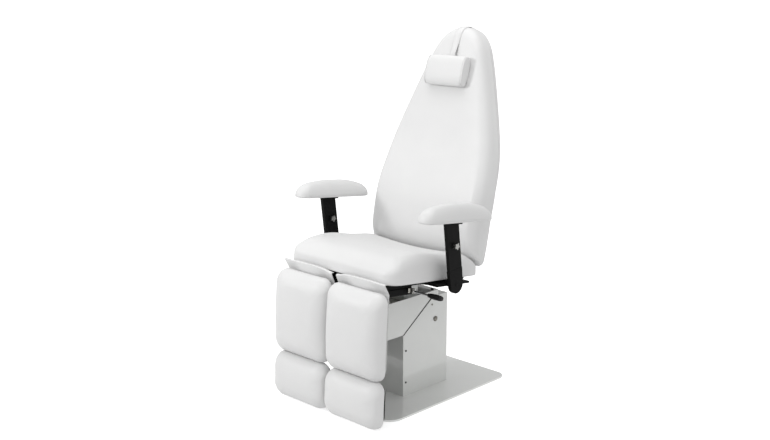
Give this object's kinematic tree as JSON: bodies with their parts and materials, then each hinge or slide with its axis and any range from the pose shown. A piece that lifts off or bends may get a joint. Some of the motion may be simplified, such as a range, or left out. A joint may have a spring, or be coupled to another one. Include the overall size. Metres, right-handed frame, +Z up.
{
  "type": "podiatry chair",
  "caption": "Podiatry treatment chair on a motor lift pedestal, with swivelling seat, reclining tapered back, folding armrests and split extending leg rests.",
  "frame": {"origin": "on the floor, on the vertical axis of the lift column", "axes": "+Z up, -Y towards the front, where the sitter's feet are, +X towards the sitter's left"},
  "size_m": [0.74, 0.8804, 1.4354],
  "materials": {
    "white_vinyl": "satin",
    "grey_paint": "gloss",
    "black_steel": "matte",
    "zinc": "satin",
    "chrome": "gloss",
    "backing_board": "matte",
    "dark_plastic": "matte"
  },
  "bodies": {
    "base": {"base_plate": "grey_paint", "housing_shell": "grey_paint", "housing_front": "grey_paint", "housing_screws": "black_steel", "axle_caps": "zinc", "guide_mast": "zinc", "lift_motor": "dark_plastic", "actuator_tube": "zinc"},
    "lift": {"lift_cover": "grey_paint", "cover_top": "grey_paint", "inner_mast": "zinc", "mast_glides": "dark_plastic", "actuator_rod": "chrome", "head_block": "grey_paint", "king_pin": "zinc", "cover_screws": "black_steel"},
    "seat": {"turntable": "black_steel", "seat_frame": "black_steel", "cross_rails": "black_steel", "seat_board": "backing_board", "seat_cushion": "white_vinyl", "arm_mounts": "black_steel", "frame_bolts": "black_steel", "leg_brackets": "black_steel", "lever_brackets": "zinc", "back_yokes": "black_steel", "hinge_pins": "zinc"},
    "backrest": {"back_arms": "black_steel", "back_shell": "white_vinyl", "back_cushion": "white_vinyl", "head_strap": "white_vinyl"},
    "pillow": {"head_pillow": "white_vinyl"},
    "release_loop": {"release_bail": "zinc"},
    "leg_left": {"leg_tube_left": "black_steel", "calf_board_left": "backing_board", "calf_cushion_left": "white_vinyl", "knee_flap_left": "white_vinyl"},
    "foot_left": {"foot_bar_left": "black_steel", "foot_cushion_left": "white_vinyl"},
    "arm_left": {"arm_bar_left": "black_steel"},
    "arm_rest_left": {"arm_sleeve_left": "black_steel", "arm_pad_left": "white_vinyl"},
    "knob_left": {"arm_knob_left": "zinc"},
    "release_left": {"lever_left": "chrome", "lever_grip_left": "dark_plastic"},
    "leg_right": {"leg_tube_right": "black_steel", "calf_board_right": "backing_board", "calf_cushion_right": "white_vinyl", "knee_flap_right": "white_vinyl"},
    "foot_right": {"foot_bar_right": "black_steel", "foot_cushion_right": "white_vinyl"},
    "arm_right": {"arm_bar_right": "black_steel"},
    "arm_rest_right": {"arm_sleeve_right": "black_steel", "arm_pad_right": "white_vinyl"},
    "knob_right": {"arm_knob_right": "zinc"},
    "release_right": {"lever_right": "chrome", "lever_grip_right": "dark_plastic"}
  },
  "joints": [
    {"name": "lift", "type": "slide", "parent": "base", "child": "lift", "axis": [0, 0, 1], "range_m": [0, 0.2]},
    {"name": "swivel", "type": "hinge", "parent": "lift", "child": "seat", "pos_m": [0, -0.055, 0.43], "axis": [0, 0, 1], "range_deg": [-90, 90]},
    {"name": "recline", "type": "hinge", "parent": "seat", "child": "backrest", "pos_m": [0, 0.17368, 0.48505], "axis": [-1, 0, 0], "range_deg": [0, 72]},
    {"name": "pillow_slide", "type": "slide", "parent": "backrest", "child": "pillow", "axis": [0, 0.2756, 0.9613], "range_m": [-0.05, 0.04]},
    {"name": "loop_pull", "type": "hinge", "parent": "seat", "child": "release_loop", "pos_m": [0.166, -0.10275, 0.48851], "axis": [0, 0.9936, -0.1132], "range_deg": [0, 20], "stiffness_Nm_per_rad": 0.3, "springref_deg": -11.46},
    {"name": "leg_raise_left", "type": "hinge", "parent": "seat", "child": "leg_left", "pos_m": [0.1445, -0.37999, 0.53399], "axis": [-1, 0, 0], "range_deg": [0, 80]},
    {"name": "foot_slide_left", "type": "slide", "parent": "leg_left", "child": "foot_left", "axis": [0, -0.0523, -0.9986], "range_m": [0, 0.12]},
    {"name": "arm_fold_left", "type": "hinge", "parent": "seat", "child": "arm_left", "pos_m": [0.332, -0.0826, 0.50635], "axis": [-1, 0, 0], "range_deg": [0, 90]},
    {"name": "arm_height_left", "type": "slide", "parent": "arm_left", "child": "arm_rest_left", "axis": [0, -0.1219, 0.9925], "range_m": [0, 0.06]},
    {"name": "knob_turn_left", "type": "hinge", "parent": "arm_rest_left", "child": "knob_left", "pos_m": [0.332, -0.10149, 0.66019], "axis": [1, 0, 0], "range_deg": [-180, 180]},
    {"name": "lever_pull_left", "type": "hinge", "parent": "seat", "child": "release_left", "pos_m": [0.1665, -0.14138, 0.45869], "axis": [0, -0.9936, 0.1132], "range_deg": [0, 12], "stiffness_Nm_per_rad": 3, "springref_deg": -5.73},
    {"name": "leg_raise_right", "type": "hinge", "parent": "seat", "child": "leg_right", "pos_m": [-0.1445, -0.37999, 0.53399], "axis": [-1, 0, 0], "range_deg": [0, 80]},
    {"name": "foot_slide_right", "type": "slide", "parent": "leg_right", "child": "foot_right", "axis": [0, -0.0523, -0.9986], "range_m": [0, 0.12]},
    {"name": "arm_fold_right", "type": "hinge", "parent": "seat", "child": "arm_right", "pos_m": [-0.332, -0.0826, 0.50635], "axis": [-1, 0, 0], "range_deg": [0, 90]},
    {"name": "arm_height_right", "type": "slide", "parent": "arm_right", "child": "arm_rest_right", "axis": [0, -0.1219, 0.9925], "range_m": [0, 0.06]},
    {"name": "knob_turn_right", "type": "hinge", "parent": "arm_rest_right", "child": "knob_right", "pos_m": [-0.332, -0.10149, 0.66019], "axis": [1, 0, 0], "range_deg": [-180, 180]},
    {"name": "lever_pull_right", "type": "hinge", "parent": "seat", "child": "release_right", "pos_m": [-0.1665, -0.14138, 0.45869], "axis": [0, 0.9936, -0.1132], "range_deg": [0, 12], "stiffness_Nm_per_rad": 3, "springref_deg": -5.73}
  ]
}
